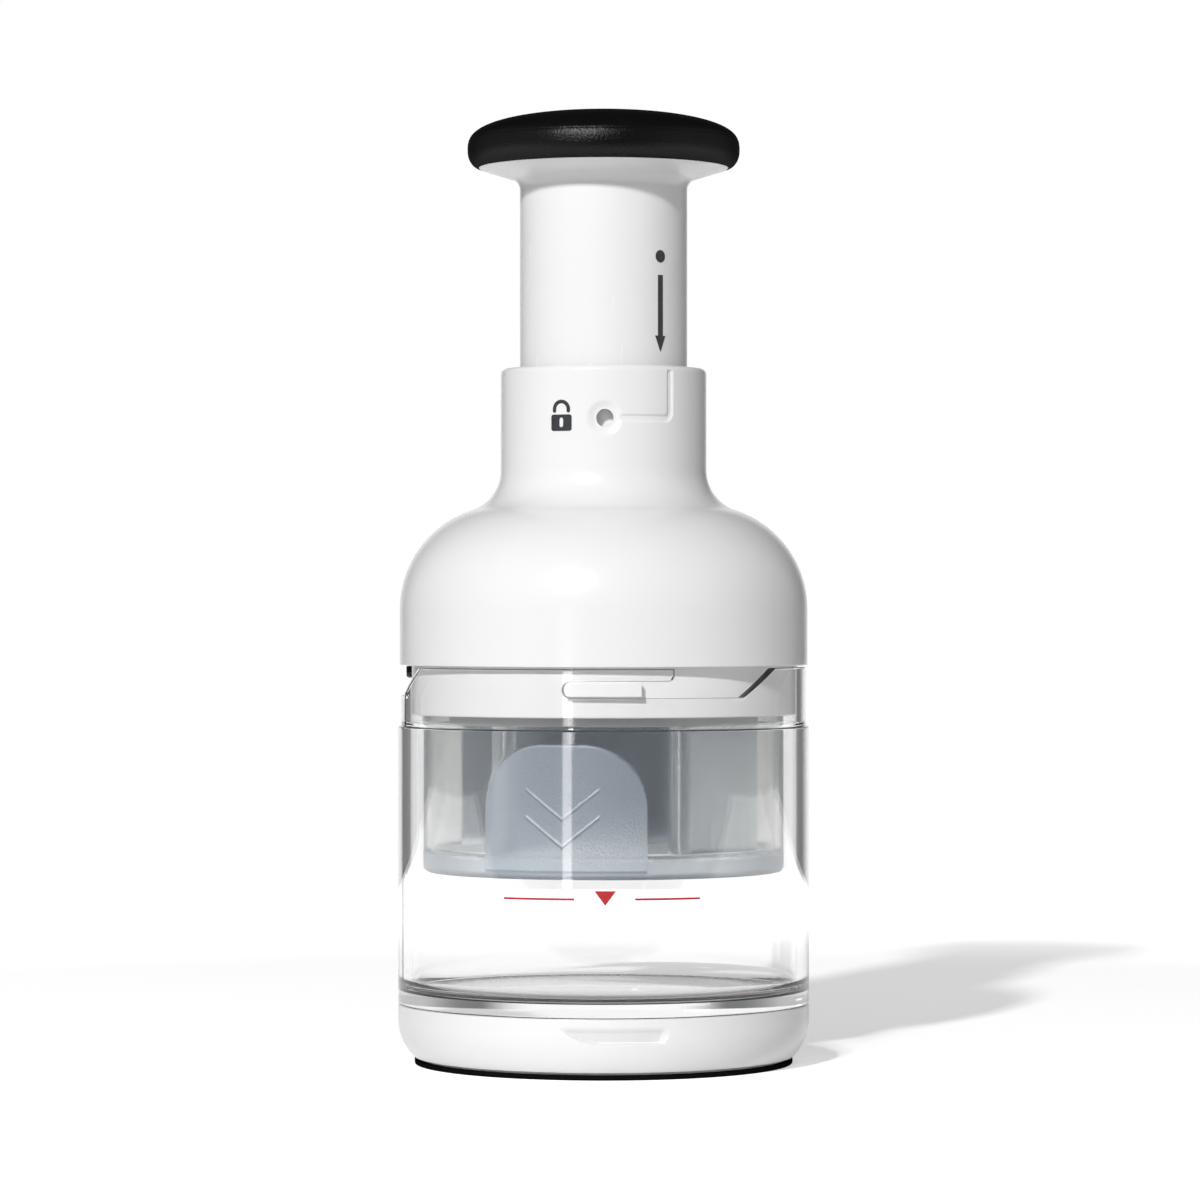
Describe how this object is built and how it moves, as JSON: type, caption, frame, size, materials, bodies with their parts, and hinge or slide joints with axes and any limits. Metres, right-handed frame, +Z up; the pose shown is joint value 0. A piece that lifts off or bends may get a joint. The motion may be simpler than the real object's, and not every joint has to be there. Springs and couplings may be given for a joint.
{
  "type": "plunger food chopper",
  "caption": "Hand food chopper: a clear cup on a removable base, a white bayonet head and a sprung plunger that drives a zig-zag blade inside a clear guard.",
  "frame": {"origin": "middle of the rubber foot's underside, on the table", "axes": "+Z up along the plunger's axis; -Y is the front, where the lock window is; +X is to the right of someone facing the front"},
  "size_m": [0.1026, 0.1027, 0.2375],
  "materials": {
    "foot_rubber": "soft matte",
    "base_plastic": "polished",
    "cup_clear": "clear, polished",
    "fill_ink": "printed",
    "head_plastic": "polished",
    "inner_plastic": "satin",
    "mark_ink": "printed",
    "guard_clear": "clear, faintly smoked, textured thumb pads",
    "spring_steel": "drawn wire",
    "turned_steel": "ground",
    "blade_steel": "cold rolled, bright",
    "bumper_rubber": "soft matte",
    "knob_rubber": "fine soft-touch grain",
    "tube_plastic": "polished",
    "sleeve_alloy": "anodised",
    "acetal": "moulded"
  },
  "bodies": {
    "base": {"foot_ring": "foot_rubber", "base_shell": "base_plastic"},
    "cup": {"cup": "cup_clear", "fill_mark": "fill_ink"},
    "head": {"housing": "head_plastic", "guide_bush": "inner_plastic", "lock_ring": "head_plastic", "lock_icon": "mark_ink", "spring_plate": "inner_plastic", "spring_seat": "turned_steel", "bumper": "bumper_rubber", "return_spring": "spring_steel"},
    "guard": {"blade_guard": "guard_clear"},
    "spring_cap": {"top_spring_seat": "turned_steel"},
    "plunger": {"plunger_tube": "tube_plastic", "travel_marks": "mark_ink", "knob_cap": "inner_plastic", "knob_cushion": "knob_rubber", "drive_sleeve": "sleeve_alloy", "shaft_bush": "acetal", "index_spring": "spring_steel"},
    "index_washer": {"thrust_washer": "acetal"},
    "drive_shaft": {"shaft": "turned_steel", "cross_pin": "turned_steel", "ratchet_wheel": "turned_steel"},
    "blade": {"blade_carrier": "inner_plastic", "chopping_blade": "blade_steel", "pawl_ring": "acetal", "hub_cap": "inner_plastic"}
  },
  "joints": [
    {"name": "cup_lift", "type": "slide", "parent": "base", "child": "cup", "axis": [0, 0, 1], "range_m": [0, 0.008]},
    {"name": "head_turn", "type": "hinge", "parent": "cup", "child": "head", "pos_m": [0, 0, 0.1], "axis": [0, 0, 1], "range_deg": [0, 31.3]},
    {"name": "guard_pull", "type": "slide", "parent": "head", "child": "guard", "axis": [0, 0, 1], "range_m": [-0.01, 0]},
    {"name": "plunger_slide", "type": "slide", "parent": "head", "child": "spring_cap", "axis": [0, 0, 1], "range_m": [-0.0402, 0], "stiffness_N_per_m": 300, "springref_m": 0.03, "deforming": ["return_spring"]},
    {"name": "plunger_turn", "type": "hinge", "parent": "spring_cap", "child": "plunger", "pos_m": [0, 0, 0.2], "axis": [0, 0, 1], "range_deg": [-41.3, 0]},
    {"name": "index_lift", "type": "slide", "parent": "plunger", "child": "index_washer", "axis": [0, 0, 1], "range_m": [0, 0.0058], "deforming": ["index_spring"]},
    {"name": "index_turn", "type": "hinge", "parent": "index_washer", "child": "drive_shaft", "pos_m": [0, 0, 0.15], "axis": [0, 0, 1], "range_deg": [0, 15]},
    {"name": "blade_ratchet", "type": "hinge", "parent": "drive_shaft", "child": "blade", "pos_m": [0, 0, 0.09], "axis": [0, 0, 1], "continuous": true}
  ],
  "couplings": [
    {"joint": "index_lift", "follows": "plunger_slide", "ratio": -0.144},
    {"joint": "index_turn", "follows": "plunger_slide", "rad_per_m": -6.5}
  ]
}
